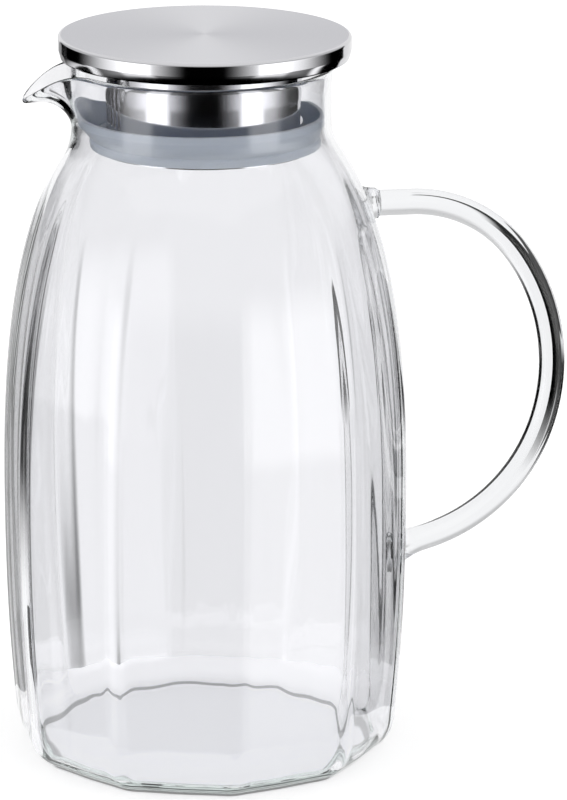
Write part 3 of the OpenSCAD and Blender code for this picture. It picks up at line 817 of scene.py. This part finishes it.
class JUG_OT_stage(bpy.types.Operator):
    """Set the table, the scrims, the light of the room and the camera"""

    bl_idname = "jug.stage"
    bl_label = "Studio"

    def execute(self, context):
        scene, studio = context.scene, context.scene.jug_studio
        scene.view_settings.view_transform = "Standard"
        scene.cycles.max_bounces = 32
        scene.cycles.transmission_bounces = 32
        scene.cycles.glossy_bounces = 24
        self.room(scene, studio)
        self.table(scene, studio)
        self.scrim(scene, studio, "scrim_left", -150)
        self.scrim(scene, studio, "scrim_right", 138)
        self.flag(scene, studio)
        self.handle_card(scene, studio)
        self.camera(scene, studio)
        return {"FINISHED"}

    @staticmethod
    def room(scene, studio):
        """A white room to look at, and a softer one for the light that it gives matt surfaces."""
        world = bpy.data.worlds.new("room")
        world.use_nodes = True
        tree = world.node_tree
        tree.nodes.clear()
        level = spread(tree, seen(tree), studio.ambient, 1.0)
        # Straight through glass, its upper part is a soft grey
        way = add(tree, "ShaderNodeTexCoord")
        apart = add(tree, "ShaderNodeSeparateXYZ", Vector=way.outputs["Generated"])
        path = add(tree, "ShaderNodeLightPath").outputs
        bounces = reckon(tree, "ADD", path["Diffuse Depth"], path["Glossy Depth"])
        through = reckon(tree, "MULTIPLY", path["Is Transmission Ray"], unturned(tree, bounces))
        upper = reckon(tree, "MULTIPLY", ramp(tree, apart.outputs["Z"], *HAZE_RISE), through)
        level = spread(tree, upper, level, studio.haze)
        white = add(tree, "ShaderNodeBackground", Color=(1, 1, 1, 1), Strength=level)
        add(tree, "ShaderNodeOutputWorld", Surface=white.outputs["Background"])
        scene.world = world

    def table(self, scene, studio):
        """A pale floor that keeps the jug's shadow, with shade painted onto the plinth in the gap under the heel;
        glass and metal see only the plinth in its middle.
        """
        form = JugForm(scene)
        sides = 240
        angles = np.linspace(0, 2 * math.pi, sides, endpoint=False)
        level = -0.3 * MM
        foot = form.body_row((form.foot_r, level), angles, form.g.ridge_round)
        loops = [foot * [k, k, 1] for k in GAP_RINGS]
        loops += [ring(np.full(sides, r), level, angles) for r in (studio.plinth_r, studio.floor_r)]
        around = [[k, (k + 1) % sides] for k in range(sides)]
        strips = [[a + n * sides, a + (n + 1) * sides, b + (n + 1) * sides, b + n * sides]
                  for n in range(len(loops) - 1) for a, b in around]
        near = len(strips) - sides
        plinth = self.prop(scene, "plinth", np.concatenate(loops[:-1]), [list(range(sides))] + strips[:near])
        # Painted shade: each point of the plinth carries how much painted shade it has, most in the ring under the
        # heel
        shade = plinth.data.attributes.new("shade", "FLOAT", "POINT")
        shade.data.foreach_set("value", np.repeat(GAP_PAINTED_SHADE, sides))
        ground = self.prop(scene, "floor", np.concatenate(loops), strips[near:])
        ground.visible_glossy = ground.visible_transmission = False
        for top, lift in ((plinth, studio.plinth_lift), (ground, studio.floor_lift)):
            made, tree = material("white_" + top.name)
            # Painted shade: the shade attribute dims the paint and the plinth's own light, most under the heel;
            # the floor has no such attribute, so it stays even
            gap = add(tree, "ShaderNodeAttribute", {"attribute_name": "shade"})
            light = spread(tree, gap.outputs["Fac"], 1.0, studio.heel_painted_shade)
            # The paint is a neutral grey, so one of its channels stands for all three
            paint = reckon(tree, "MULTIPLY", light, colour("#F4F4F4")[0])
            matt = add(tree, "ShaderNodeBsdfDiffuse", Color=paint)
            raised = reckon(tree, "MULTIPLY", reckon(tree, "MULTIPLY", seen(tree), lift), light)
            glow = add(tree, "ShaderNodeEmission", Color=(1, 1, 1, 1), Strength=raised)
            both = add(tree, "ShaderNodeAddShader", i0=matt.outputs["BSDF"], i1=glow.outputs["Emission"])
            add(tree, "ShaderNodeOutputMaterial", Surface=both.outputs["Shader"])
            top.data.materials.append(made)

    def curved_wall(self, scene, studio, name, turns, low, high):
        """A curved wall at turns from the camera's side, hidden from the camera."""
        around = studio.azimuth + np.radians(turns)
        foot = np.stack([np.sin(around), -np.cos(around)], 1) * studio.scrim_r
        n = len(turns)
        heights = np.concatenate([np.broadcast_to(low, n), np.full(n, high)])
        wall = self.prop(scene, name, np.column_stack([np.tile(foot, (2, 1)), heights]), self.strip(n))
        wall.visible_camera = False
        layer = wall.data.uv_layers.new(name="across")
        for loop in wall.data.loops:
            at = loop.vertex_index
            layer.data[loop.index].uv = (abs(turns[at % n]), heights[at])
        return wall

    @staticmethod
    def strip(n):
        """Faces between two rows of n points."""
        return [[k, k + 1, n + k + 1, n + k] for k in range(n - 1)]

    @staticmethod
    def turn_and_height(tree):
        """The turn in degrees and the height in metres of a place on a curved wall."""
        across = add(tree, "ShaderNodeUVMap", {"uv_map": "across"})
        apart = add(tree, "ShaderNodeSeparateXYZ", Vector=across.outputs["UV"])
        return apart.outputs["X"], apart.outputs["Y"]

    def scrim(self, scene, studio, name, end):
        """A scrim that glows in its middle, with strip lights low down, and is black at both ends."""
        turns = np.linspace(0, end, 61)
        low = lerp(WALL_FOOT, SCRIM_CUT, smooth(-turns, *FAR_TURNS))
        wall = self.curved_wall(scene, studio, name, turns, low, SCRIM_TOP)
        made, tree = material(name)
        turn, height = self.turn_and_height(tree)
        upper = ramp(tree, height, *GLOW_FOOT, studio.low_glow, studio.glow)
        level = reckon(tree, "MULTIPLY", band(tree, turn, *GLOW_TURNS), upper)
        block = ramp(tree, height, *BLOCK_FOOT, studio.block_glow, BLOCK_GAIN * studio.glow)
        block = reckon(tree, "MULTIPLY", band(tree, turn, *BLOCK_TURNS), block)
        lights = ramp(tree, height, *LIGHT_FOOT)
        level = reckon(tree, "MULTIPLY", reckon(tree, "MAXIMUM", block, level), lights)
        low_strip = reckon(tree, "MULTIPLY", ramp(tree, height, *STRIP_HEAD, studio.strip_glow, 0.0), lights)
        level = reckon(tree, "MULTIPLY_ADD", band(tree, turn, *STRIP_TURNS), low_strip, level)
        if end < 0:
            pale = reckon(tree, "MULTIPLY", ramp(tree, turn, *FAR_TURNS), ramp(tree, height, *FAR_HEAD, 1.0, 0.0))
            level = reckon(tree, "MAXIMUM", pale, level)
        # High up it is an even grey, which the lid's top mirrors from any side
        level = spread(tree, ramp(tree, height, *SKY_FOOT), level, studio.sky)
        # Straight through the glass, with nothing mirrored, it is as white as the room
        path = add(tree, "ShaderNodeLightPath").outputs
        clear = reckon(tree, "MULTIPLY", band(tree, turn, *CLEAR_TURNS), unturned(tree, path["Glossy Depth"]))
        level = spread(tree, clear, level, 1.0)
        level = spread(tree, path["Diffuse Depth"], level, studio.fill)
        wall.data.materials.append(shining(made, tree, level))

    def flag(self, scene, studio):
        """A dark flag low at the back on the left, pale at its far end, which draws dark edges in the glass."""
        turns = np.linspace(*FLAG_TURNS, 40)
        low = lerp(*FLAG_LOW, smooth(-turns, *FLAG_LIFT))
        wall = self.curved_wall(scene, studio, "black_flag", turns, low, 0.0)
        made, tree = material("shaded_felt")
        turn, height = self.turn_and_height(tree)
        level = ramp(tree, turn, *FLAG_FADE, FLAG_DARK, 1.0)
        for fade, rise in FLAG_ZONES:
            level = spread(tree, ramp(tree, height, *rise), level, ramp(tree, turn, *fade, FLAG_DARK, 1.0))
        path = add(tree, "ShaderNodeLightPath").outputs
        level = reckon(tree, "MULTIPLY_ADD", path["Is Reflection Ray"], FLAG_MIRRORED, level)
        # Beside it, a skirt that only mirrors see, for the rim's lower edge
        skirt = self.curved_wall(scene, studio, "black_skirt", np.linspace(*SKIRT_TURNS, 40), WALL_FOOT, SKIRT_TOP)
        skirt.visible_transmission = False
        for card, cover in ((wall, shining(made, tree, level)), (skirt, shining(*material("black_felt"), 0.0))):
            card.visible_diffuse = card.visible_shadow = False
            card.data.materials.append(cover)

    def handle_card(self, scene, studio):
        """A small black card behind the handle's bend, seen only through the rod, which it gives a dark side."""
        path = np.array(rod_path(JugForm(scene), scene.jug_handle))
        first, last = np.radians(CARD_HEADINGS)
        path = path[(path[:, 2] < first) & (path[:, 2] > last)]
        inward = np.stack([np.sin(path[:, 2]), -np.cos(path[:, 2])], 1)
        n = len(path)
        flat = np.concatenate([path[:, :2] + gap * inward for gap in CARD_EDGES])
        points = np.stack([flat[:, 0], np.zeros(2 * n), flat[:, 1]], 1)
        away = points - camera_spot(studio)
        points = points + CARD_BEHIND * away / np.linalg.norm(away, axis=1)[:, None]
        card = self.prop(scene, "handle_card", points, self.strip(n))
        card.visible_camera = card.visible_glossy = card.visible_diffuse = card.visible_shadow = False
        along = card.data.attributes.new("along", "FLOAT", "POINT")
        along.data.foreach_set("value", np.tile(np.linspace(0, 1, n), 2))
        made, tree = material("black_card")
        place = add(tree, "ShaderNodeAttribute", {"attribute_name": "along"}).outputs["Fac"]
        upper, lower = CARD_FADES
        ends = reckon(tree, "MAXIMUM", ramp(tree, place, *upper, 1.0, 0.0), ramp(tree, place, *lower))
        card.data.materials.append(shining(made, tree, ends))

    @staticmethod
    def prop(scene, name, points, faces):
        """A mesh of the studio, which isn't part of the jug."""
        mesh = bpy.data.meshes.new(name)
        mesh.from_pydata([list(p) for p in points], [], faces)
        made = bpy.data.objects.new(name, mesh)
        scene.collection.objects.link(made)
        return made

    @staticmethod
    def camera(scene, studio):
        """The camera aims at the middle of the frame, with its verticals kept to the jug's axis."""
        data = bpy.data.cameras.new("camera")
        data.sensor_width = 36
        data.lens = studio.focal_px * data.sensor_width / PHOTO_H
        data.clip_start, data.clip_end = 0.01, 50
        spot = Vector(camera_spot(studio))
        middle = Vector((0, 0, CAD_BOX[1][2] / 2))
        ahead = (middle - spot).normalized()
        right = ahead.cross(Vector((0, 0, 1))).normalized()
        up = right.cross(ahead)
        aim = ahead * studio.focal_px + right * (PHOTO_W / 2 - studio.axis_x) + up * (studio.axis_y - PHOTO_H / 2)
        aim.normalize()
        level = (right - aim * right.dot(aim)).normalized()
        rise = level.cross(aim)
        made = bpy.data.objects.new("camera", data)
        made.matrix_world = Matrix.Translation(spot) @ Matrix((level, rise, -aim)).transposed().to_4x4()
        scene.collection.objects.link(made)
        scene.camera = made


class JUG_PT_panel(bpy.types.Panel):
    """The jug's pieces and its studio"""

    bl_idname = "JUG_PT_panel"
    bl_label = "Glass Jug"
    bl_space_type = "VIEW_3D"
    bl_region_type = "UI"
    bl_category = "Jug"

    def draw(self, context):
        for step in STEPS:
            self.layout.operator(step.bl_idname)
        for key in SETTINGS:
            box = self.layout.box()
            group = getattr(context.scene, key)
            for name in group.__annotations__:
                box.prop(group, name, text=name.replace("_", " ").capitalize())


SETTINGS = {"jug_body": JugBodySizes, "jug_spout": SpoutSizes, "jug_handle": HandleSizes, "jug_lid": LidSizes,
            "jug_tube": TubeSizes, "jug_seal": SealSizes, "jug_studio": StudioSettings}
STEPS = (JUG_OT_body, JUG_OT_handle, JUG_OT_lid, JUG_OT_tube, JUG_OT_seal, JUG_OT_stage)


def register():
    for made in (*SETTINGS.values(), *STEPS, JUG_PT_panel):
        bpy.utils.register_class(made)
    for key, group in SETTINGS.items():
        setattr(bpy.types.Scene, key, PointerProperty(type=group))


def unregister():
    for key in SETTINGS:
        delattr(bpy.types.Scene, key)
    for made in (JUG_PT_panel, *STEPS[::-1], *list(SETTINGS.values())[::-1]):
        bpy.utils.unregister_class(made)


def main():
    register()
    for step in STEPS:
        group, call = step.bl_idname.split(".")
        getattr(getattr(bpy.ops, group), call)()


if __name__ == "__main__":
    main()
